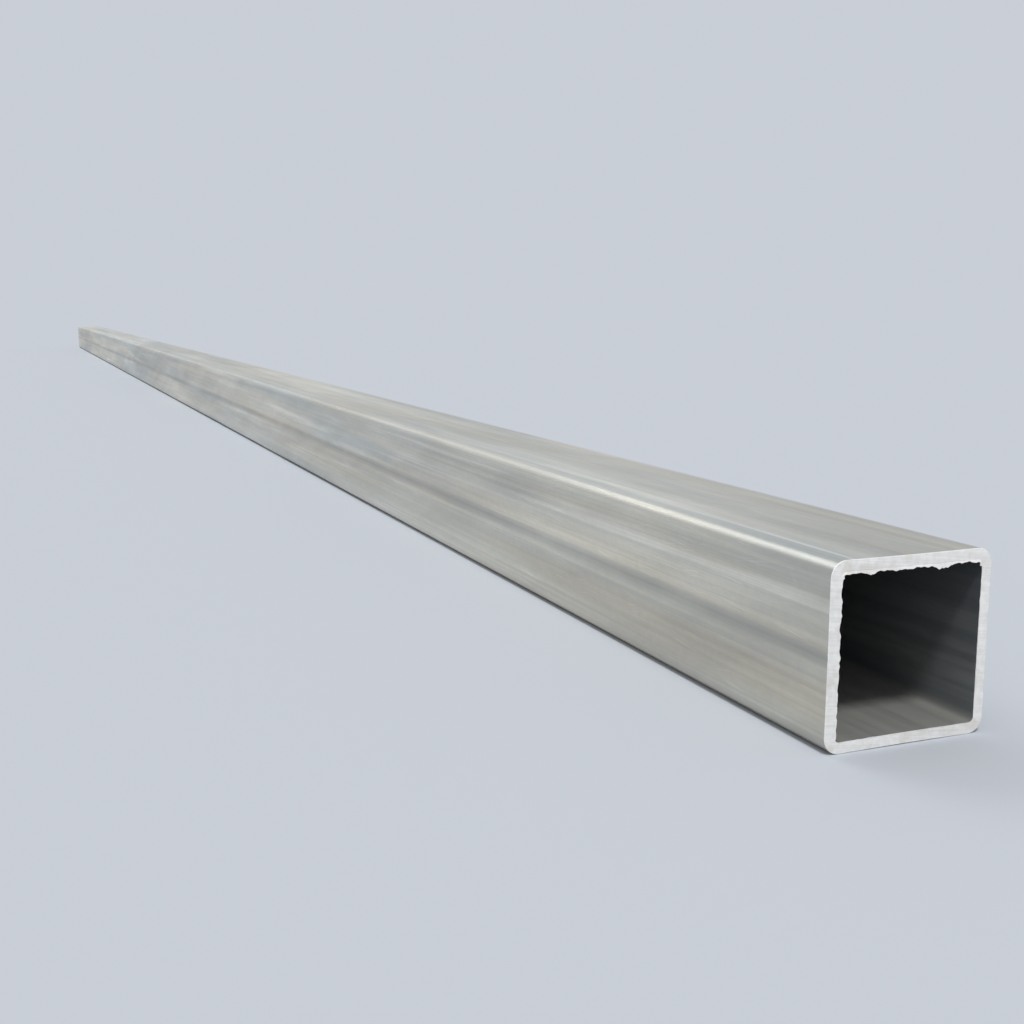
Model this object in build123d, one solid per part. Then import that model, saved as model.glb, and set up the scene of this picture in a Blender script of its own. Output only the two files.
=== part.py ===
"""Square steel tube: one length of galvanised, roll-formed and seam-welded stock.

Millimetres. The tube lies along X on the plane Z = 0, with the origin under its middle.
"""
from build123d import *
import os

# The rolled section
SIDE = 50.0                      # outside height and width
WALL = 3.0                       # thickness of the strip it is rolled from
BEND_RATIO = 1.5                 # outside bend radius over wall, as the squaring rolls leave it
OUTER_RADIUS = BEND_RATIO * WALL
INNER_RADIUS = OUTER_RADIUS - WALL
INSIDE = SIDE - 2 * WALL

# The length it is sold in, sawn square at both ends
LENGTH = 3000.0

# The weld that closes the strip into a tube: planed flush outside, left as a low bead inside
SEAM_HEIGHT = SIDE / 2           # up the -Y wall, at its middle
BEAD_WIDTH = 3.0
BEAD_HEIGHT = 0.8

NODE = "square_tube"


def rolled_section():
    """The strip bent into a square: flat walls joined by four concentric bends."""
    with BuildSketch() as section:
        with Locations((0, SIDE / 2)):
            RectangleRounded(SIDE, SIDE, OUTER_RADIUS)
            RectangleRounded(INSIDE, INSIDE, INNER_RADIUS, mode=Mode.SUBTRACT)
    return section.sketch


def weld_bead():
    """The bead's round back, a circle sunk in the -Y wall so that only its cap stands inside."""
    radius = (BEAD_WIDTH**2 / 4 + BEAD_HEIGHT**2) / (2 * BEAD_HEIGHT)
    inner_face = -INSIDE / 2
    with BuildSketch() as bead:
        with Locations((inner_face + BEAD_HEIGHT - radius, SEAM_HEIGHT)):
            Circle(radius)
    return bead.sketch


def square_tube():
    """The welded section, run half the length each way from the middle."""
    with BuildPart() as tube:
        with BuildSketch(Plane.YZ):
            add(rolled_section())
            add(weld_bead())
        extrude(amount=LENGTH / 2, both=True)
    return tube.part


os.makedirs("parts", exist_ok=True)
tube = square_tube()
export_step(tube, f"parts/{NODE}.step")
print(f"{NODE}: {SIDE:.0f} x {SIDE:.0f} x {WALL:.1f}, length {LENGTH:.0f}")
print(f"section area {tube.volume / LENGTH:.2f} mm2, volume {tube.volume / 1000:.1f} cm3")
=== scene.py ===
# %% [markdown]
# # A length of galvanised square tube
# Square tube is made from one strip of zinc-coated steel. Rolls bend the strip into a square, a welder joins
# its two edges along one wall, a cutter planes the weld flush outside, and a band saw cuts the stock to length.
# The real thing is one piece, so almost all of its looks come from its surface: the drawn zinc, the seam, the
# bright sawn ends with their burrs, and the dark bore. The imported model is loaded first, and everything is made
# in its frame, in metres.

# %% Load the frame
import math

import bmesh
import bpy
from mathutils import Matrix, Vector, noise


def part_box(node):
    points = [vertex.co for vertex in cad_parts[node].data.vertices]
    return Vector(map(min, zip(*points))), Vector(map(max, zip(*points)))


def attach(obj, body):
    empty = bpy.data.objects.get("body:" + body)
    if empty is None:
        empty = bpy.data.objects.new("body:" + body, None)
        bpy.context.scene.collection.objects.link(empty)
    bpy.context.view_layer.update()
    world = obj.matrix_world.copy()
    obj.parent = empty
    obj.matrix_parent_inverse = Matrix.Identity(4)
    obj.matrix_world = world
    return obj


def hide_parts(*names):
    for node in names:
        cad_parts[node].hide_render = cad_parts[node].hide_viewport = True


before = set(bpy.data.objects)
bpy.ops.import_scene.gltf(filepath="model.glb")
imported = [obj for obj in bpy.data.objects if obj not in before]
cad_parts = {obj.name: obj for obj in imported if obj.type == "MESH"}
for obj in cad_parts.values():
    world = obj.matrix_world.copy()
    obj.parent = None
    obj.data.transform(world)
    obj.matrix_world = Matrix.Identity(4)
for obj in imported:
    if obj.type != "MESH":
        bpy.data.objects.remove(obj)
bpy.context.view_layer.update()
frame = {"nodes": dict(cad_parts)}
print("nodes of the frame:", ", ".join(frame["nodes"]))

# %% Sizes of the tube
MM = 0.001
NODE = "square_tube"
X, Y, Z = 0, 1, 2
WALL = 3.0 * MM
BEND_RATIO = 1.5             # the outside radius of a bend, in walls

low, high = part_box(NODE)
LENGTH = high[X] - low[X]
SIDE = high[Z] - low[Z]
MIDDLE = SIDE / 2
INSIDE = SIDE - 2 * WALL
OUTER_RADIUS = BEND_RATIO * WALL
INNER_RADIUS = OUTER_RADIUS - WALL
FLAT = SIDE - 2 * OUTER_RADIUS
print(f"tube {LENGTH / MM:.0f} mm long, {SIDE / MM:.0f} mm square, bore {INSIDE / MM:.0f} mm")

# %% [markdown]
# ## Camera
# Long stock is best shown from near one end, so that the end is large and the length runs away to a point. The
# camera stands a little above the tube and to one side of its axis. Its place is worked out from the near end,
# by how far it stands off and by the two angles of its line of sight. It then aims past the end, along the
# tube, so that the whole length fills the picture.

# %% Camera
STAND_OFF = 0.34
OFF_AXIS = math.radians(40)              # the near end is seen in this direction
LOOK_DOWN = math.radians(15)
AIM_OFF_AXIS = math.radians(22.0)        # and the picture's middle lies in this one
AIM_DOWN = math.radians(9.5)
FIELD_OF_VIEW = math.radians(44)
SENSOR = 36.0                            # in millimetres, like the focal length
NEAREST_SEEN = 0.01

near_end = Vector((high[X], 0, MIDDLE))


def towards(off_axis, down):
    """The direction from the camera that is turned off the tube's axis and tipped below the horizon."""
    level = math.cos(down)
    return Vector((-math.cos(off_axis) * level, math.sin(off_axis) * level, -math.sin(down)))


camera_data = bpy.data.cameras.new("camera")
camera_data.sensor_width = SENSOR
camera_data.lens = SENSOR / 2 / math.tan(FIELD_OF_VIEW / 2)
camera_data.clip_start = NEAREST_SEEN
camera = bpy.data.objects.new("camera", camera_data)
bpy.context.collection.objects.link(camera)
camera.location = near_end - STAND_OFF * towards(OFF_AXIS, LOOK_DOWN)
camera.rotation_euler = towards(AIM_OFF_AXIS, AIM_DOWN).to_track_quat("-Z", "Y").to_euler()
bpy.context.scene.camera = camera
print("camera at", [round(v, 3) for v in camera.location])

# %% [markdown]
# ## Floor
# The tube lies on a plain matt floor. It could end in a curved backdrop, but a very wide plane is simpler and
# looks the same from every side, and the world behind it takes over its colour where it ends.

# %% Helpers for shader nodes
def node(tree, kind, inputs=None, **settings):
    """A shader node with its settings made and its inputs set to values or linked to sockets."""
    made = tree.nodes.new(kind)
    for name, value in settings.items():
        setattr(made, name, value)
    for name, value in (inputs or {}).items():
        if isinstance(value, bpy.types.NodeSocket):
            tree.links.new(value, made.inputs[name])
        else:
            made.inputs[name].default_value = value
    return made


def maths(tree, way, first, second=0.0):
    """The result of one Math node."""
    return node(tree, "ShaderNodeMath", {0: first, 1: second}, operation=way).outputs[0]


def new_material(name):
    """An empty node material and its tree."""
    material = bpy.data.materials.new(name)
    material.use_nodes = True
    material.node_tree.nodes.clear()
    return material, material.node_tree


# %% Floor
FLOOR_COLOUR = (0.549, 0.582, 0.634, 1.0)
FLOOR_REACH = 400.0

bpy.ops.object.select_all(action="DESELECT")
bpy.ops.mesh.primitive_plane_add(size=FLOOR_REACH)
floor = bpy.context.object
floor.name = "floor"
floor_paint, tree = new_material("floor_paint")
matt = node(tree, "ShaderNodeBsdfDiffuse", {"Color": FLOOR_COLOUR})
node(tree, "ShaderNodeOutputMaterial", {"Surface": matt.outputs[0]})
floor.data.materials.append(floor_paint)
print(f"floor {FLOOR_REACH:.0f} m wide")

# %% [markdown]
# ## Lamps and world
# Both lamps are suns, because a sun lights the floor evenly everywhere. One stands high before the near end, a
# little to the left: it whitens the sawn end and reaches a short way down the bore, where it leaves a soft
# slanting edge on the far wall. The other is much wider and comes from behind, and the rounded upper edge turns
# it into a long thin highlight, which is what tells the eye that the edge is a bend and not a corner.
#
# The world is two things at once. The camera and the reflections see a backdrop of the floor's colour, exactly
# as bright as the lit floor, so that no edge shows between them. Everything else is lit by a plain white room.

# %% Lamps
ROOM_STRENGTH = 0.48


def sun_direction(rise, turn):
    """Where a sun stands: how high it has risen, and how far it has turned from +X towards +Y, in degrees."""
    rise, turn = math.radians(rise), math.radians(turn)
    return Vector((math.cos(rise) * math.cos(turn), math.cos(rise) * math.sin(turn), math.sin(rise)))


SUNS = {                     # strength, width in degrees, and where it stands
    "end_sun": (1.8, 10, sun_direction(60, -22)),
    "edge_sun": (0.42, 26, sun_direction(44, -160)),
}

# The share of its colour that the matt floor shows: what the room gives it and what each sun adds.
floor_light = ROOM_STRENGTH
for name, (energy, width, stands) in SUNS.items():
    sun_data = bpy.data.lights.new(name, "SUN")
    sun_data.energy = energy
    sun_data.angle = math.radians(width)
    sun = bpy.data.objects.new(name, sun_data)
    bpy.context.collection.objects.link(sun)
    sun.rotation_euler = stands.to_track_quat("Z", "Y").to_euler()
    floor_light += energy * stands.z / math.pi
print(f"floor is lit at {floor_light:.2f} of its written colour")

# %% World
ROOM_COLOUR = (1.0, 1.0, 1.0, 1.0)

world = bpy.data.worlds.new("room")
bpy.context.scene.world = world
world.use_nodes = True
tree = world.node_tree
tree.nodes.clear()
rays = node(tree, "ShaderNodeLightPath")
seen = rays.outputs["Is Camera Ray"]
for reflected in ("Is Glossy Ray", "Is Transmission Ray"):
    seen = maths(tree, "MAXIMUM", seen, rays.outputs[reflected])
room = node(tree, "ShaderNodeBackground", {"Color": ROOM_COLOUR, "Strength": ROOM_STRENGTH})
backdrop = node(tree, "ShaderNodeBackground", {"Color": FLOOR_COLOUR, "Strength": floor_light})
both = node(tree, "ShaderNodeMixShader", {0: seen, 1: room.outputs[0], 2: backdrop.outputs[0]})
node(tree, "ShaderNodeOutputWorld", {"Surface": both.outputs[0]})
bpy.context.scene.view_settings.view_transform = "Standard"
print("colours are shown as", bpy.context.scene.view_settings.view_transform)

# %% [markdown]
# ## The rolled wall
# The section could be drawn and extruded, but a box needs no drawing and keeps the four bends at hand as edges.
# So the wall starts as a plain box without its two ends. Its four long edges are bevelled to the radius that
# the rolls leave, and Solidify gives it the strip's thickness, which also makes the smaller radius inside. Cuts
# across and along give the walls points to bend at, because no rolled wall is truly flat.

# %% Helpers for modelling
def pick(obj, kind, test):
    """Selects, in edit mode, the vertices, edges or faces whose points pass the test, and counts them."""
    if bpy.context.object.mode != "EDIT":
        bpy.ops.object.mode_set(mode="EDIT")
    bpy.ops.mesh.select_mode(type=kind)
    bpy.ops.mesh.select_all(action="DESELECT")
    mesh = bmesh.from_edit_mesh(obj.data)
    items = {"VERT": mesh.verts, "EDGE": mesh.edges, "FACE": mesh.faces}[kind]
    count = 0
    for item in items:
        points = [item.co] if kind == "VERT" else [v.co for v in item.verts]
        if test(points):
            item.select_set(True)
            count += 1
    mesh.select_flush_mode()
    bmesh.update_edit_mesh(obj.data)
    return count


def span(points, axis):
    """How far the points reach along an axis."""
    values = [p[axis] for p in points]
    return max(values) - min(values)


def cut(axis, place):
    """Cuts the whole mesh across an axis at a place."""
    normal = [0, 0, 0]
    normal[axis] = 1
    point = [0, 0, 0]
    point[axis] = place
    bpy.ops.mesh.select_all(action="SELECT")
    bpy.ops.mesh.bisect(plane_co=point, plane_no=normal)


def apply_modifier(obj, kind, **settings):
    """Adds a modifier with its settings and applies it."""
    modifier = obj.modifiers.new(kind.title(), kind)
    for name, value in settings.items():
        setattr(modifier, name, value)
    bpy.ops.object.modifier_apply(modifier=modifier.name)


# %% A box with four bends and no ends
SAW_RECESS = 0.4 * MM        # the burrs reach the tube's full length, the sawn face a little less
SAWN_X = LENGTH / 2 - SAW_RECESS
BEND_STEPS = 8
ROUND = 0.5                  # the profile with which a bevel turns a quarter circle

bpy.ops.object.select_all(action="DESELECT")
bpy.ops.mesh.primitive_cube_add(size=1, location=(0, 0, MIDDLE))
tube = bpy.context.object
tube.name = "tube"
bpy.ops.transform.resize(value=(2 * SAWN_X, SIDE, SIDE))
bpy.ops.object.transform_apply(location=True, rotation=True, scale=True)

pick(tube, "FACE", lambda points: span(points, X) < MM)
bpy.ops.mesh.delete(type="ONLY_FACE")
bends = pick(tube, "EDGE", lambda points: span(points, X) > MM)
bpy.ops.mesh.bevel(
    offset=OUTER_RADIUS, offset_type="OFFSET", segments=BEND_STEPS, profile=ROUND, affect="EDGES")
print(f"{bends} bends of {OUTER_RADIUS / MM:.1f} mm")

# %% Cut the walls and thicken them
FLAT_CUTS = (-0.48, -0.36, -0.24, -0.12, 0, 0.12, 0.24, 0.36, 0.48)      # places across a wall, in flats
BEAD_WIDTH = 3.0 * MM
BEAD_CUTS = (-0.5, -0.4, -0.3, -0.2, -0.1, 0.1, 0.2, 0.3, 0.4, 0.5)      # across the bead, in its widths
RING_SPLITS = (12, 10)       # parts along the length, each parted again

for share in FLAT_CUTS:
    cut(Y, share * FLAT)
    cut(Z, MIDDLE + share * FLAT)
for share in BEAD_CUTS:
    cut(Z, MIDDLE + share * BEAD_WIDTH)
for parts in RING_SPLITS:
    pick(tube, "EDGE", lambda points: span(points, X) > MM)
    bpy.ops.mesh.subdivide(number_cuts=parts - 1)
bpy.ops.object.mode_set(mode="OBJECT")
apply_modifier(tube, "SOLIDIFY", thickness=WALL, offset=-1, use_even_offset=True, use_rim=True)
print(f"shell of {len(tube.data.polygons)} faces")

# %% [markdown]
# ## Hollow walls, the planed seam and the weld bead
# Rolling leaves each flat wall a tenth of a millimetre hollow, a little more in one place than in the next, and
# light slides over it because of that. Outside, the planer leaves a trace of a hollow along the seam. Inside,
# the weld bead is pushed up out of the wall: its section is the cap of a circle, and its height wanders as the
# weld did. All three are far too shallow to model by hand, so each point of the mesh is moved by a formula.

# %% Shape the walls
HOLLOW = 0.10 * MM
HOLLOW_WANDER = 0.08 * MM
HOLLOW_PITCH = 0.30
NOISE_ROWS = 7.3             # how far apart in the noise the walls are read, so that they differ
SEAM_HOLLOW = 0.06 * MM
SEAM_REACH = 1.0 * MM
BEAD_HEIGHT = 0.8 * MM
BEAD_PITCH = 0.012
BEAD_WANDER = 0.25
BEAD_ROW = (0.4, 2.1)        # the line through the noise that the bead's height follows
bead_circle = (BEAD_WIDTH**2 / 4 + BEAD_HEIGHT**2) / (2 * BEAD_HEIGHT)


def hollow(x, across, wall):
    """How far a wall's skin sinks at a place along the tube and across the wall."""
    depth = HOLLOW + HOLLOW_WANDER * noise.noise(Vector((x / HOLLOW_PITCH, NOISE_ROWS * wall, 0)))
    return depth * max(0.0, 1 - (2 * across / FLAT) ** 2)


def bead_rise(x, across):
    """How far the bead stands out of the wall."""
    if abs(across) >= BEAD_WIDTH / 2:
        return 0.0
    cap = math.sqrt(bead_circle**2 - across**2) - (bead_circle - BEAD_HEIGHT)
    return cap * (1 + BEAD_WANDER * noise.noise(Vector((x / BEAD_PITCH, *BEAD_ROW))))


rises = []
for vertex in tube.data.vertices:
    point = vertex.co
    height = point.z - MIDDLE
    if abs(height) < FLAT / 2 and abs(point.y) > FLAT / 2:
        side = math.copysign(1, point.y)
        inner = abs(point.y) < MIDDLE - WALL / 2
        point.y -= side * hollow(point.x, height, side)
        if side < 0 and inner:
            rises.append(bead_rise(point.x, height))
            point.y += rises[-1]
        elif side < 0:
            point.y += SEAM_HOLLOW * max(0.0, 1 - (height / SEAM_REACH) ** 2)
    elif abs(point.y) < FLAT / 2:
        side = math.copysign(1, height)
        point.z -= side * hollow(point.x, point.y, 3 + side)
print(f"bead rises {max(rises) / MM:.2f} mm at most")

# %% [markdown]
# ## Sawn ends
# A band saw leaves a face that is nearly flat, and the handling breaks its corners by a fifth of a millimetre.
# The corners are bevelled, because a broken corner catches the light and gives each end its thin bright
# outline, which a sharp one never does. Weighted normals then keep the flat faces flat.

# %% Break the sawn corners
BROKEN = 0.2 * MM
BROKEN_STEPS = 2
ROUND_ANGLE = math.radians(50)
CLOSE = 0.01 * MM


def depth_under(point):
    """How deep a point lies under the tube's outside, and the direction from it straight to the outside."""
    y, z = point.y, point.z - MIDDLE
    past_y, past_z = abs(y) - (MIDDLE - OUTER_RADIUS), abs(z) - (MIDDLE - OUTER_RADIUS)
    out_y, out_z = math.copysign(1, y), math.copysign(1, z)
    if past_y > 0 and past_z > 0:
        reach = math.hypot(past_y, past_z)
        return OUTER_RADIUS - reach, Vector((0, out_y * past_y / reach, out_z * past_z / reach))
    if past_y > past_z:
        return OUTER_RADIUS - past_y, Vector((0, out_y, 0))
    return OUTER_RADIUS - past_z, Vector((0, 0, out_z))


def on_sawn_corner(points):
    """Whether an edge runs round a sawn end, along the outside or along the bore, and not across the wall."""
    if any(abs(p.x) < SAWN_X - CLOSE for p in points):
        return False
    depths = [depth_under(p)[0] for p in points]
    return max(depths) < WALL / 2 or min(depths) > WALL / 2


corners = pick(tube, "EDGE", on_sawn_corner)
bpy.ops.mesh.bevel(
    offset=BROKEN, offset_type="OFFSET", segments=BROKEN_STEPS, profile=ROUND, affect="EDGES")
bpy.ops.object.mode_set(mode="OBJECT")
bpy.ops.object.shade_smooth_by_angle(angle=ROUND_ANGLE)
apply_modifier(tube, "WEIGHTED_NORMAL", keep_sharp=True)
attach(tube, "root")
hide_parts(NODE)
print(f"sawn ends: {corners} corner edges broken, {len(tube.data.polygons)} faces")

# %% [markdown]
# ## Burrs
# The blade feeds down through the tube, and where it leaves the steel it pushes out a ragged lip. Under the top
# wall the lip is longest, down the side that the teeth leave it is a row of small scallops, and elsewhere it is
# a trace. The tube's own mesh is too coarse for it, so the lip is a piece of its own, let into the steel. It
# starts as the outline of the bore: a plane with rounded corners, cut into short edges. The edges are extruded
# twice, once to the corner of the steel and once to the free edge, and noise decides how far that edge hangs
# into the bore and how far it curls outwards.

# %% How far the lip hangs
LIP_UNDER_TOP = (0.62 * MM, 0.62 * MM)               # mean reach, and how much it varies
LIP_AT_EXIT_SIDE = (0.36 * MM, 0.42 * MM)
LIP_ELSEWHERE = (0.10 * MM, 0.22 * MM)
LIP_LEAST = 0.02 * MM
TOP_STARTS = INSIDE / 2 - 1.2 * INNER_RADIUS         # above the tube's middle
EXIT_SIDE_STARTS = INSIDE / 2 - 0.1 * MM             # out from the tube's middle
FLAKES = ((9.0 * MM, 2.3 * MM, 0.75 * MM), (-12.5 * MM, 1.6 * MM, 0.5 * MM))     # place, half width, reach
FLAKE_WANDER = 0.5
COARSE, MIDDLING, FINE, CURLS = 3.1 * MM, 1.3 * MM, 0.5 * MM, 3.5 * MM           # sizes of the noises
COARSE_SHARE, MIDDLING_SHARE, FINE_SHARE = 1.1, 0.5, 0.12


def ragged(y, z, size, row):
    """Noise of one size at a place on the bore's outline. Each row is another pattern."""
    return noise.noise(Vector((y / size, z / size, row)))


def lip_reach(y, z, end):
    """How far the lip hangs into the bore at a place on its outline, and how far it curls outwards."""
    if z > TOP_STARTS:
        mean, wander = LIP_UNDER_TOP
    elif end * y < -EXIT_SIDE_STARTS:
        mean, wander = LIP_AT_EXIT_SIDE
    else:
        mean, wander = LIP_ELSEWHERE
    coarse = ragged(y, z, COARSE, 5 * end)
    middling = ragged(y, z, MIDDLING, 9 + end)
    fine = ragged(y, z, FINE, 14 + end)
    varied = COARSE_SHARE * coarse + MIDDLING_SHARE * middling + FINE_SHARE * fine
    reach = max(LIP_LEAST, mean + wander * varied)
    if z > TOP_STARTS:
        for place, half_width, flake in FLAKES:
            reach += flake * math.exp(-(((y - place) / half_width) ** 4)) * (1 + FLAKE_WANDER * middling)
    curl = 0.5 + 0.5 * ragged(y, z, CURLS, 21 + end)
    return reach, curl


reaches = [lip_reach(step * MM, INSIDE / 2, 1)[0] / MM for step in range(-20, 21, 5)]
print("reach under the top wall, every 5 mm:", [round(reach, 2) for reach in reaches])

# %% Outline of the bore, extruded twice
LIP_CORNER_STEPS = 6
LIP_SPLITS = (16, 15)        # parts along each straight wall, each parted again


def lip_outline(end, name):
    """The bore's outline at one end, extruded twice on the spot, and the points of each of its three rings."""
    bpy.ops.object.select_all(action="DESELECT")
    bpy.ops.mesh.primitive_plane_add(
        size=INSIDE, location=(end * SAWN_X, 0, MIDDLE), rotation=(0, math.pi / 2, 0))
    lip = bpy.context.object
    lip.name = name
    bpy.ops.object.transform_apply(location=True, rotation=True, scale=True)
    bpy.ops.object.mode_set(mode="EDIT")
    bpy.ops.mesh.select_all(action="SELECT")
    bpy.ops.mesh.bevel(
        offset=INNER_RADIUS, offset_type="OFFSET", segments=LIP_CORNER_STEPS, profile=ROUND, affect="VERTICES")
    bpy.ops.mesh.select_all(action="SELECT")
    bpy.ops.mesh.delete(type="ONLY_FACE")
    for parts in LIP_SPLITS:
        pick(lip, "EDGE", lambda points: (points[0] - points[1]).length > INNER_RADIUS)
        bpy.ops.mesh.subdivide(number_cuts=parts - 1)
    bpy.ops.mesh.select_all(action="SELECT")
    rings = [[v.index for v in bmesh.from_edit_mesh(lip.data).verts]]
    for _ in range(2):
        bpy.ops.mesh.extrude_region_move(TRANSFORM_OT_translate={"value": (0, 0, 0)})
        mesh = bmesh.from_edit_mesh(lip.data)
        mesh.verts.index_update()
        rings.append([v.index for v in mesh.verts if v.select])
    bpy.ops.object.mode_set(mode="OBJECT")
    return lip, rings


# %% Shape the outlines into lips
LIP_ROOT = 0.35 * MM         # how far the lip starts inside the steel
LIP_THICKNESS = 0.24 * MM
LIP_TAPER = (1.0, 0.8, 0.35)             # shares of it at the root, at the bend and at the free edge
BEND_REACH, BEND_CURL = 0.25, 0.2        # what the bend has of the whole reach, and of the saw's recess
EDGE_INSET = 0.2 * LIP_THICKNESS         # how far the free edge stays inside the tube's length
FULL_CURL_REACH = 1.0 * MM               # a lip that reaches less far curls less


def make_lip(end, name):
    """The ragged lip at one end, as a closed thin band."""
    lip, rings = lip_outline(end, name)
    thickness = lip.vertex_groups.new(name="thickness")
    for ring, members in enumerate(rings):
        for index in members:
            point = lip.data.vertices[index].co
            outwards = depth_under(point)[1]
            reach, curl = lip_reach(point.y, point.z - MIDDLE, end)
            if ring == 0:
                point += LIP_ROOT * outwards
                point.x = end * (SAWN_X - LIP_ROOT)
            elif ring == 1:
                point -= BEND_REACH * reach * outwards
                point.x = end * (SAWN_X - LIP_THICKNESS / 2 + BEND_CURL * SAW_RECESS * curl)
            else:
                point -= reach * outwards
                curled = curl * min(1, reach / FULL_CURL_REACH)
                point.x = end * (SAWN_X + (SAW_RECESS - EDGE_INSET) * curled)
            thickness.add([index], LIP_TAPER[ring], "REPLACE")
    apply_modifier(lip, "SOLIDIFY", thickness=LIP_THICKNESS, offset=0, use_rim=True, vertex_group="thickness")
    bpy.ops.object.mode_set(mode="EDIT")
    bpy.ops.mesh.select_all(action="SELECT")
    bpy.ops.mesh.normals_make_consistent(inside=False)
    bpy.ops.object.mode_set(mode="OBJECT")
    bpy.ops.object.shade_smooth_by_angle(angle=ROUND_ANGLE)
    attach(lip, "root")
    farthest = max(abs(v.co.x) for v in lip.data.vertices)
    print(f"{name}: {len(lip.data.polygons)} faces, reaches x = {farthest:.5f}")
    return lip


lips = [make_lip(1, "burr_plus_x"), make_lip(-1, "burr_minus_x")]

# %% [markdown]
# ## Finishes
# All patterns are drawn from Object coordinates, in metres, so that they stay on the steel. Rolling draws
# everything out along the tube, so most patterns are one noise texture with its coordinates squeezed: long
# marks along X, narrow ones across. A finish lists its layers of such noise in one table, and in a second one
# how much each of them lightens and darkens its colour. That keeps all the numbers that are tuned in one
# place. The helpers make a noise, ease a value from one range to another, and mix colours.

# %% Helpers for patterns
MOST_NOISE = (0.3, 0.7)      # most values of a noise lie between these


def speckle(tree, place, size, detail, rough=0.5):
    """Noise that is the same in all directions: the size of its marks, how detailed it is and how rough."""
    made = node(tree, "ShaderNodeTexNoise", {
        "Vector": place, "Scale": 1 / size, "Detail": detail, "Roughness": rough,
    })
    return made.outputs["Fac"]


def stretched(tree, place, along, across, detail, rough, shift, turn=0.0):
    """Noise drawn out along the tube: the length and width of its marks, by how many of them it is shifted,
    and by how many degrees it is turned on a wall."""
    drawn = node(tree, "ShaderNodeMapping", {
        "Vector": place, "Location": (shift * along, shift * across, shift * across),
        "Rotation": (0, 0, math.radians(turn)), "Scale": (along, across, across),
    }, vector_type="TEXTURE")
    return speckle(tree, drawn.outputs[0], 1.0, detail, rough)


def eased(tree, value, start, end, low=0.0, high=1.0):
    """A value eased from low to high as it goes from start to end."""
    made = node(tree, "ShaderNodeMapRange", {
        "Value": value, "From Min": start, "From Max": end, "To Min": low, "To Max": high,
    }, interpolation_type="SMOOTHSTEP")
    return made.outputs[0]


def summed(tree, marks, shares):
    """The sum of some layers, each times its share."""
    total = 0.0
    for name, share in shares.items():
        total = maths(tree, "ADD", total, maths(tree, "MULTIPLY", marks[name], share))
    return total


# %% Helpers for colours and shaders
# A Mix node has the same names for its numbers and its colours, so its sockets are told apart by their places.
AMOUNT, FIRST_NUMBER, SECOND_NUMBER, FIRST_COLOUR, SECOND_COLOUR, MIXED_COLOUR = 0, 2, 3, 6, 7, 2


def blend_colour(tree, amount, first, second):
    """Two colours mixed by an amount."""
    made = node(tree, "ShaderNodeMix", {
        AMOUNT: amount, FIRST_COLOUR: first, SECOND_COLOUR: second,
    }, data_type="RGBA")
    return made.outputs[MIXED_COLOUR]


def scaled(tree, colour, factor):
    """A colour made lighter or darker by a factor."""
    return node(tree, "ShaderNodeVectorMath", {0: colour, "Scale": factor}, operation="SCALE").outputs[0]


def shaded(tree, colour, marks, table):
    """A colour made lighter and darker by some layers. The table says, for each of them, between which of its
    values it acts, and with which factors."""
    factor = 1.0
    for name, (start, end, least, most) in table.items():
        factor = maths(tree, "MULTIPLY", factor, eased(tree, marks[name], start, end, least, most))
    return scaled(tree, colour, factor)


def surface(tree, colour, finish, metallic, relief, depth):
    """Ends a material: colour, roughness, how metallic it is, and its relief as bump of a depth in metres."""
    bump = node(tree, "ShaderNodeBump", {"Height": relief, "Strength": 1.0, "Distance": depth})
    shader = node(tree, "ShaderNodeBsdfPrincipled", {
        "Base Color": colour, "Roughness": finish, "Metallic": metallic, "Normal": bump.outputs[0],
    })
    node(tree, "ShaderNodeOutputMaterial", {"Surface": shader.outputs[0]})


# %% [markdown]
# ## Zinc outside
# Fresh zinc is a satin light grey that is warmer in one place than in the next, and slowly grows lighter and
# darker along the tube; this slow change is partly its own tone and partly a painted reflection. The rolls leave
# fine lines along it, coolant dries to faint cool clouds, thin warm streaks run where oil was drawn along, and
# gloves and slings leave slanting smears and a few fine scratches. The smears' lighter and darker colour also
# paints faint slanting reflections, and pale cream patches are painted glare that stands for the sun's
# reflection.
# One noise can't look like all of these, so each has a layer of its own, and the layers are laid over each
# other. The slanting marks need a flat picture of each wall: how far along, how far across, and which wall.

# %% Layers of the zinc coat
ZINC_LAYERS = {       # length and width of the marks in metres, detail, roughness, shift
    "roll_lines": (0.32, 0.0013, 4, 0.6, 0), "hair_lines": (0.09, 0.0005, 2, 0.5, 2),
    "threads": (0.16, 0.0032, 3, 0.6, 9), "bands": (0.45, 0.011, 2, 0.5, 7),
    # the sweep: a slow change of tone along the tube, partly a painted reflection
    "drift": (0.34, 0.024, 2, 0.5, 5), "sweep_and_reflection": (0.45, 0.20, 1, 0.5, 58),
    "mottle": (0.040, 0.007, 3, 0.6, 13), "grain": (0.0030, 0.0016, 2, 0.6, 4),
    "warmth": (0.42, 0.012, 2, 0.5, 83), "clouds": (0.36, 0.019, 3, 0.5, 11),
    # pale: painted glare, patches that stand for the sun's reflection
    "pale": (0.24, 0.007, 2, 0.5, 43), "oil": (0.45, 0.0022, 2, 0.5, 17),
}
SLANTED_LAYERS = {    # the same, and how far the marks are turned
    # smears: handling marks whose colour also paints faint slanting reflections
    "smears": (0.15, 0.014, 2, 0.5, 3, 16), "long_scratches": (0.030, 0.00042, 0, 0.5, 8, -4),
    "short_scratches": (0.019, 0.00036, 0, 0.5, 6, 9),
}

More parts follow.
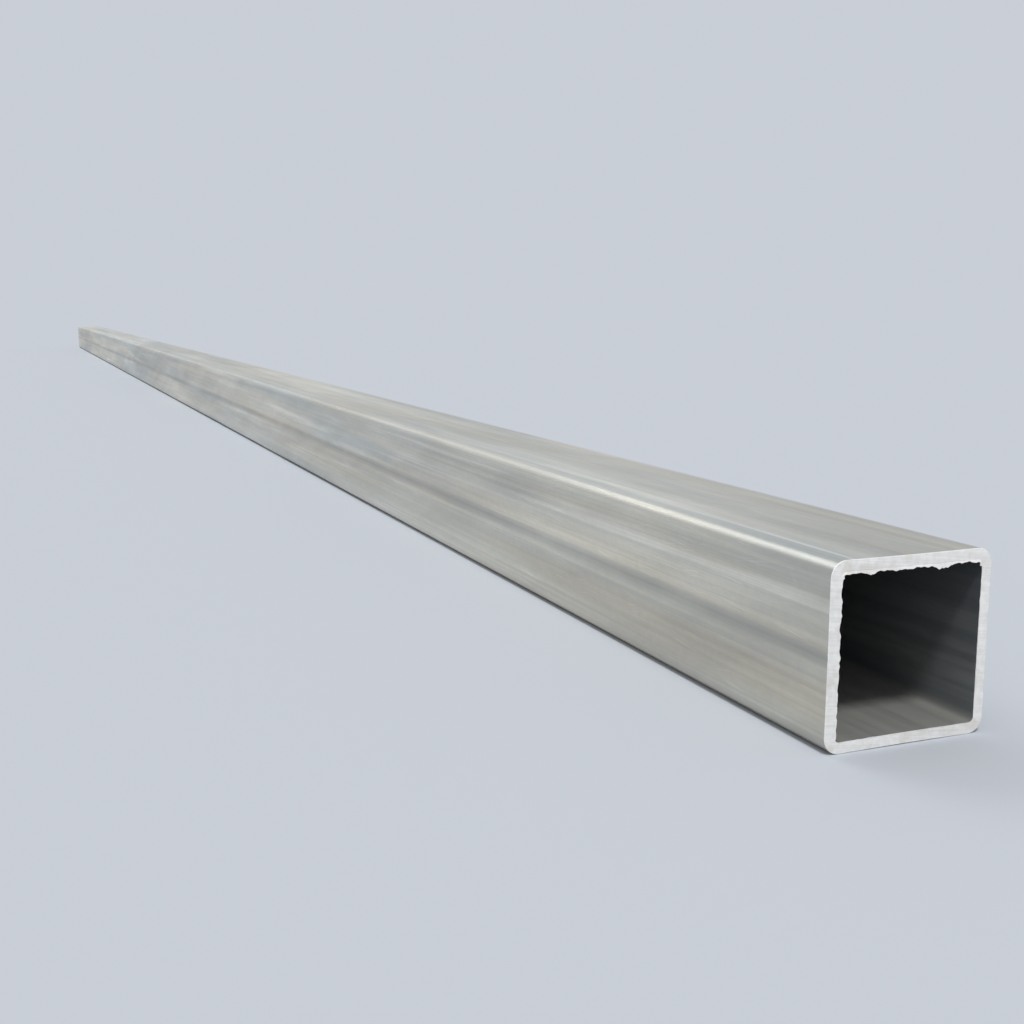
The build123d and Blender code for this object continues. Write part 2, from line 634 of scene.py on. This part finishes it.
zinc, tree = new_material("zinc_coat")
coords = node(tree, "ShaderNodeTexCoord").outputs["Object"]
place = node(tree, "ShaderNodeSeparateXYZ", {"Vector": coords})
height = maths(tree, "SUBTRACT", place.outputs[Z], MIDDLE)
from_middle = maths(tree, "ABSOLUTE", height)
from_axis = maths(tree, "ABSOLUTE", place.outputs[Y])
on_side_wall = maths(tree, "GREATER_THAN", from_axis, from_middle)
across_wall = node(tree, "ShaderNodeMix", {
    AMOUNT: on_side_wall, FIRST_NUMBER: place.outputs[Y], SECOND_NUMBER: height,
}).outputs[0]
on_wall = node(tree, "ShaderNodeCombineXYZ", {"X": place.outputs[X], "Y": across_wall, "Z": on_side_wall})

marks = {name: stretched(tree, coords, *layer) for name, layer in ZINC_LAYERS.items()}
for name, layer in SLANTED_LAYERS.items():
    marks[name] = stretched(tree, on_wall.outputs[0], *layer)
print(f"zinc coat: {len(marks)} layers of noise")

# %% Colour of the zinc coat
ZINC = (0.634, 0.614, 0.542, 1)
WARM_ZINC = (0.660, 0.608, 0.502, 1)
CLOUD_GREY = (0.460, 0.494, 0.489, 1)
# painted glare: a cream colour that stands for the sun's reflection on the walls
PAINTED_GLARE_PATCH = (0.80, 0.775, 0.70, 1)
OIL_BEIGE = (0.60, 0.535, 0.45, 1)
ZINC_TINTS = {        # its colour, where in the noise it starts and is strongest, and how strong it gets
    "warmth": (WARM_ZINC, 0.42, 0.62, 0.7), "clouds": (CLOUD_GREY, 0.44, 0.72, 0.75),
    "pale": (PAINTED_GLARE_PATCH, 0.60, 0.73, 0.62), "oil": (OIL_BEIGE, 0.60, 0.76, 0.5),
}
ZINC_SHADES = {       # the values between which a layer acts, and its factors there
    # the sweep lightens and darkens partly as tone, partly as painted reflection
    "drift": (0.34, 0.66, 0.92, 1.08), "sweep_and_reflection": (0.36, 0.64, 0.90, 1.10),
    "bands": (0.36, 0.64, 0.955, 1.045), "threads": (0.34, 0.66, 0.96, 1.035),
    "roll_lines": (0.34, 0.66, 0.945, 1.045), "hair_lines": (*MOST_NOISE, 0.97, 1.03),
    "mottle": (*MOST_NOISE, 0.972, 1.028), "grain": (*MOST_NOISE, 0.98, 1.02),
    # smears lighten and darken partly as painted reflection
    "smears": (0.36, 0.68, 0.98, 1.04), "long_scratches": (0.75, 0.81, 1.0, 1.2),
    "short_scratches": (0.785, 0.84, 1.0, 1.15),
}

colour = ZINC
amounts = {}
for name, (tint, start, end, strength) in ZINC_TINTS.items():
    amounts[name] = eased(tree, marks[name], start, end, 0, strength)
    colour = blend_colour(tree, amounts[name], colour, tint)
colour = shaded(tree, colour, marks, ZINC_SHADES)
print(f"zinc coat: {len(ZINC_TINTS)} tints, {len(ZINC_SHADES)} layers that lighten and darken")

# %% [markdown]
# ## The seam's trace
# The planed seam shows as a soft darker band along the middle of one wall, with a thin core, and beige in
# places. A straight line would look ruled, so noise moves it up and down by less than a millimetre and lets it
# fade here and there.

# %% Seam
SEAM_GREY = (0.405, 0.400, 0.370, 1)
SEAM_BEIGE = (0.48, 0.425, 0.35, 1)
SEAM_WANDER = 0.9 * MM                       # how far its middle moves in all
SEAM_CORE = (0.3 * MM, 1.2 * MM, 0.95)       # full to here, gone from here on, and how strong
SEAM_BAND = (0.9 * MM, 3.2 * MM, 0.70)
SEAM_LAYERS = {
    "wander": (0.03, 0.1, 3, 0.6, 51), "warmth": (0.16, 0.1, 2, 0.5, 23), "fading": (0.09, 0.1, 3, 0.6, 29),
}
SEAM_WARMTH = (0.45, 0.65)                   # beige from here on, and fully there
SEAM_FADING = (0.35, 0.62, 0.55, 1)          # the values between which it acts, and the seam's strength there

seam = {name: stretched(tree, coords, *layer) for name, layer in SEAM_LAYERS.items()}
wandering = maths(tree, "ADD", height, maths(tree, "MULTIPLY", seam["wander"], SEAM_WANDER))
off_seam = maths(tree, "ABSOLUTE", maths(tree, "SUBTRACT", wandering, SEAM_WANDER / 2))
on_seam_side = maths(tree, "LESS_THAN", place.outputs[Y], -(MIDDLE - OUTER_RADIUS))
core, band = (
    maths(tree, "MULTIPLY", eased(tree, off_seam, full, gone, strength, 0), on_seam_side)
    for full, gone, strength in (SEAM_CORE, SEAM_BAND)
)
seam_strength = eased(tree, seam["fading"], *SEAM_FADING)
seam_colour = blend_colour(tree, eased(tree, seam["warmth"], *SEAM_WARMTH), SEAM_GREY, SEAM_BEIGE)
seam_amount = maths(tree, "MULTIPLY", maths(tree, "MAXIMUM", band, core), seam_strength)
colour = blend_colour(tree, seam_amount, colour, seam_colour)
print(f"seam up to {2 * SEAM_BAND[1] / MM:.1f} mm wide")

# %% [markdown]
# ## Sheen of the zinc
# Zinc is a metal, but its skin of oxide is satin, so it is mostly metallic and its reflections are soft. The
# dried clouds are duller, the smears a little shinier, and the rolls press hardest on the bends and polish
# them. The roll lines are also there as bump, a hundredth of a millimetre deep: too fine to be modelled, but
# enough to draw the reflections out along the tube.

# %% Sheen and relief of the zinc coat
ZINC_METALLIC = 0.85
LINE_ROUGHNESS = (0.36, 0.42)                # in the darkest and in the lightest roll lines
CLOUD_DULLNESS = 0.08
SMEAR_SHEEN = (0.36, 0.68, 0.02, -0.02)      # the values between which it acts, and what it adds there
POLISH_STARTS = FLAT / 2 - 0.5 * MM
POLISH_FULL = FLAT / 2 + MM
BEND_POLISH = 0.03
ZINC_RELIEF = {"roll_lines": 0.7, "hair_lines": 0.3}
LINE_DEPTH = 0.010 * MM

finish = eased(tree, marks["roll_lines"], *MOST_NOISE, *LINE_ROUGHNESS)
finish = maths(tree, "ADD", finish, maths(tree, "MULTIPLY", amounts["clouds"], CLOUD_DULLNESS))
finish = maths(tree, "ADD", finish, eased(tree, marks["smears"], *SMEAR_SHEEN))
on_bend = eased(tree, maths(tree, "MINIMUM", from_axis, from_middle), POLISH_STARTS, POLISH_FULL)
finish = maths(tree, "SUBTRACT", finish, maths(tree, "MULTIPLY", on_bend, BEND_POLISH))
surface(tree, colour, finish, ZINC_METALLIC, summed(tree, marks, ZINC_RELIEF), LINE_DEPTH)
print(f"zinc coat: {len(tree.nodes)} nodes")

# %% [markdown]
# ## Zinc in the bore
# The bore never sees a roll or a rag. Its zinc is duller and darker, and part of that darkness is painted shade
# of the bore. Its colour is also painted as shade by height: a little paler low down and darker towards the top.
# Dust lies grey along the bottom wall. Beside the weld the heat has burnt the zinc to a pale powdery band, with
# the bead dark and rough between. Little of this is seen from outside, so three layers of noise are enough.

# %% Layers and colours of the bore
# the bore's zinc, darker than outside: duller zinc, and painted shade of the bore
BORE_DARK = (0.215, 0.232, 0.242, 1)
BORE_LIGHT = (0.290, 0.300, 0.302, 1)
BORE_STAIN = (0.185, 0.195, 0.198, 1)
BURNT_ZINC = (0.40, 0.39, 0.36, 1)
BEAD_BROWN = (0.150, 0.137, 0.125, 1)
BORE_DUST = (0.49, 0.48, 0.445, 1)
BORE_LAYERS = {       # length and width of the marks in metres, detail, roughness, shift
    "streaks": (0.4, 0.004, 3, 0.6, 31), "stains": (0.05, 0.012, 3, 0.6, 37),
    "ripples": (0.0022, 0.0030, 2, 0.6, 41),
}
STAIN_AMOUNT = (0.5, 0.7, 0, 0.6)            # the values between which it acts, and its amounts there
# painted shade: the bore's colour grows darker towards the top, where less light reaches, and lighter at the
# bottom
BORE_PAINTED_SHADE = (1.10, 0.77)                     # factors of the colour at the bottom and at the top
BURNT_BAND = (3 * MM, 7 * MM, 0.7)           # full to here, gone from here on, and how strong
BEAD_BAND = (1.3 * MM, 1.9 * MM, 0.85)
DUST_AMOUNT, DUST_REACH = 0.8, 3 * MM
BORE_METALLIC = 0.65
BORE_ROUGHNESS = (0.50, 0.60)                # in the darkest and in the lightest streaks
STAIN_RELIEF = 0.2
RIPPLE_DEPTH = 0.15 * MM
print("layers of the bore:", ", ".join(BORE_LAYERS))

# %% Bore zinc
bore, tree = new_material("bore_zinc")
coords = node(tree, "ShaderNodeTexCoord").outputs["Object"]
place = node(tree, "ShaderNodeSeparateXYZ", {"Vector": coords})
marks = {name: stretched(tree, coords, *layer) for name, layer in BORE_LAYERS.items()}
colour = blend_colour(tree, eased(tree, marks["streaks"], *MOST_NOISE), BORE_DARK, BORE_LIGHT)
colour = blend_colour(tree, eased(tree, marks["stains"], *STAIN_AMOUNT), colour, BORE_STAIN)
# painted shade: darker towards the top of the bore, a little lighter low down
colour = scaled(tree, colour, eased(tree, place.outputs[Z], WALL, SIDE - WALL, *BORE_PAINTED_SHADE))
from_bead = maths(tree, "ABSOLUTE", maths(tree, "SUBTRACT", place.outputs[Z], MIDDLE))
on_bead_side = maths(tree, "LESS_THAN", place.outputs[Y], -(MIDDLE - OUTER_RADIUS))
burnt, bead = (
    maths(tree, "MULTIPLY", eased(tree, from_bead, full, gone, strength, 0), on_bead_side)
    for full, gone, strength in (BURNT_BAND, BEAD_BAND)
)
colour = blend_colour(tree, burnt, colour, BURNT_ZINC)
colour = blend_colour(tree, bead, colour, BEAD_BROWN)
dust = eased(tree, place.outputs[Z], WALL, WALL + DUST_REACH, DUST_AMOUNT, 0)
colour = blend_colour(tree, dust, colour, BORE_DUST)
finish = eased(tree, marks["streaks"], *MOST_NOISE, *BORE_ROUGHNESS)
relief = summed(tree, marks, {"stains": STAIN_RELIEF, "ripples": bead})
surface(tree, colour, finish, BORE_METALLIC, relief, RIPPLE_DEPTH)
print(f"bore zinc: {len(tree.nodes)} nodes")

# %% [markdown]
# ## Sawn steel
# Where the blade has passed the steel is bare and bright, with fine lines along the blade's travel, slightly
# tilted because the tube was not quite square to it, and with broader waves under them. Its near-white colour is
# lighter than bare steel: it also paints the sun's glare on the sawn ends. Bare steel doesn't stay bright for
# long, so it has begun to tarnish in faint beige patches. Lines and waves are the same noise, which is squeezed
# across the blade's travel, once to the pitch of the teeth and once to that of the waves.

# %% Lines and colours of the sawn steel
# near white: bare steel, with the sun's glare painted into its colour
SAWN_DULL = (0.89, 0.885, 0.865, 1)
SAWN_BRIGHT = (0.975, 0.97, 0.95, 1)
TARNISH = (0.70, 0.645, 0.57, 1)
BLADE_TILT = math.radians(7)
THROUGH = 50                                 # how fast the lines change along the tube, for each metre
SAW_LINES = {"teeth": (0.02, 0.00035, 3.0), "waves": (0.03, 0.0016, 2.0)}        # length, pitch and detail
SPECKLES = {"mottle": (0.0018, 2.0), "patches": (0.009, 4.0, 0.65)}              # size, detail, roughness
SAWN_SHADES = {"waves": (*MOST_NOISE, 0.95, 1.03), "mottle": (*MOST_NOISE, 0.94, 1.03)}
TARNISH_AMOUNT = (0.50, 0.66, 0, 0.45)       # the values between which it acts, and its amounts there
SAWN_METALLIC = 0.15
SAWN_ROUGHNESS = (0.50, 0.38)                # in the dull and in the bright lines
SAWN_RELIEF = {"teeth": 0.6, "waves": 0.8}
TOOTH_DEPTH = 0.05 * MM
print("layers of the sawn steel:", ", ".join([*SAW_LINES, *SPECKLES]))

# %% Sawn steel
sawn, tree = new_material("sawn_steel")
coords = node(tree, "ShaderNodeTexCoord").outputs["Object"]
tilted = node(tree, "ShaderNodeMapping", {"Vector": coords, "Rotation": (BLADE_TILT, 0, 0)}).outputs[0]
marks = {name: speckle(tree, coords, *layer) for name, layer in SPECKLES.items()}
for name, (length, pitch, detail) in SAW_LINES.items():
    drawn = node(tree, "ShaderNodeMapping", {"Vector": tilted, "Scale": (THROUGH, 1 / length, 1 / pitch)})
    marks[name] = speckle(tree, drawn.outputs[0], 1.0, detail)
colour = blend_colour(tree, eased(tree, marks["teeth"], *MOST_NOISE), SAWN_DULL, SAWN_BRIGHT)
colour = shaded(tree, colour, marks, SAWN_SHADES)
colour = blend_colour(tree, eased(tree, marks["patches"], *TARNISH_AMOUNT), colour, TARNISH)
finish = eased(tree, marks["teeth"], *MOST_NOISE, *SAWN_ROUGHNESS)
surface(tree, colour, finish, SAWN_METALLIC, summed(tree, marks, SAWN_RELIEF), TOOTH_DEPTH)
print(f"sawn steel: {len(tree.nodes)} nodes")

# %% [markdown]
# ## Which face has which finish
# The three finishes meet at edges that are there in the mesh, so every face has one of them and nothing has to
# be masked. A face of a sawn end looks along the tube, and of the others those that lie deeper than half the
# wall are in the bore. The lips are of bare steel too.

# %% Put each finish on its faces
FINISHES = {"outside": zinc, "bore": bore, "sawn": sawn}
SLOTS = {part: number for number, part in enumerate(FINISHES)}
FACING_END = 0.2             # how much of its normal a face of a sawn end has along the tube, at least


def part_of_tube(face):
    """Whether a face lies on the outside, in the bore or on a sawn end."""
    if abs(face.normal.x) > FACING_END:
        return "sawn"
    return "bore" if depth_under(face.center)[0] > WALL / 2 else "outside"


for material in FINISHES.values():
    tube.data.materials.append(material)
counts = dict.fromkeys(FINISHES, 0)
for face in tube.data.polygons:
    part = part_of_tube(face)
    face.material_index = SLOTS[part]
    counts[part] += 1
for lip in lips:
    lip.data.materials.append(sawn)
print("faces of the tube:", counts)

# %% [markdown]
# ## A flat map of the tube
# Other programs read the finish from one square picture wrapped round the tube, so the tube gets a map that
# spends the square where eyes go. An automatic unwrap would give each part the room that its area asks for, and
# the sawn ends would get next to none. Here the outside is unrolled into two strips, one for each half of the
# length. The bore gets two thin strips, and a better patch for the stretch just inside each mouth. Each sawn
# end, though small, gets a large patch of its own, because it is looked at from close by.

# %% Where a face lies on the map
PERIMETER = 4 * FLAT + 2 * math.pi * OUTER_RADIUS
MOUTH = 75 * MM              # how far inside the better patch of the bore reaches
PATCHES = {                  # left, bottom, width and height in the square
    ("outside", 1): (0.002, 0.004, 0.996, 0.262), ("outside", -1): (0.002, 0.272, 0.996, 0.262),
    ("bore", 1): (0.002, 0.540, 0.996, 0.060), ("bore", -1): (0.002, 0.606, 0.996, 0.060),
    ("sawn", 1): (0.002, 0.674, 0.322, 0.322), ("sawn", -1): (0.332, 0.674, 0.322, 0.322),
    ("mouth", 1): (0.662, 0.674, 0.164, 0.322), ("mouth", -1): (0.834, 0.674, 0.164, 0.322),
}


def way_round(y, z):
    """How far round the section a point is, from the bottom wall's middle towards +Y, as a share of it all."""
    half, bend = FLAT / 2, math.pi * OUTER_RADIUS / 2
    up = z - MIDDLE
    if abs(y) > half and abs(up) > half:
        turned = math.atan2(abs(up) - half, abs(y) - half) * OUTER_RADIUS
        right = half + (bend - turned if up < 0 else bend + FLAT + turned)
    elif abs(y) > abs(up):
        right = half + bend + up + half
    elif up < 0:
        right = abs(y)
    else:
        right = half + 2 * bend + FLAT + half - abs(y)
    return (right if y >= 0 else PERIMETER - right) / PERIMETER


def place_on_map(face):
    """The corners of a face, each with its place in the square."""
    end = 1 if face.center.x > 0 else -1
    part = part_of_tube(face)
    if part == "bore" and abs(face.center.x) > LENGTH / 2 - MOUTH:
        part = "mouth"
    left, bottom, width, height = PATCHES[part, end]
    middle = way_round(face.center.y, face.center.z)
    for corner in face.loop_indices:
        point = tube.data.vertices[tube.data.loops[corner].vertex_index].co
        if part == "sawn":
            u, v = 0.5 + end * point.y / SIDE, point.z / SIDE
        else:
            inwards = (LENGTH / 2 - abs(point.x)) / (MOUTH if part == "mouth" else LENGTH / 2)
            seen_from = 1 if part == "outside" else -1
            u = 0.5 + seen_from * end * (inwards - 0.5)
            v = way_round(point.y, point.z)
            v += round(middle - v)
        yield corner, (left + u * width, bottom + v * height)


# %% Unroll the tube
flat_map = tube.data.uv_layers.new(name="OFBake")
for face in tube.data.polygons:
    for corner, spot in place_on_map(face):
        flat_map.data[corner].uv = spot
spots = [loop.uv for loop in flat_map.data]
print("map reaches", [round(f(uv[i] for uv in spots), 3) for i in (0, 1) for f in (min, max)])
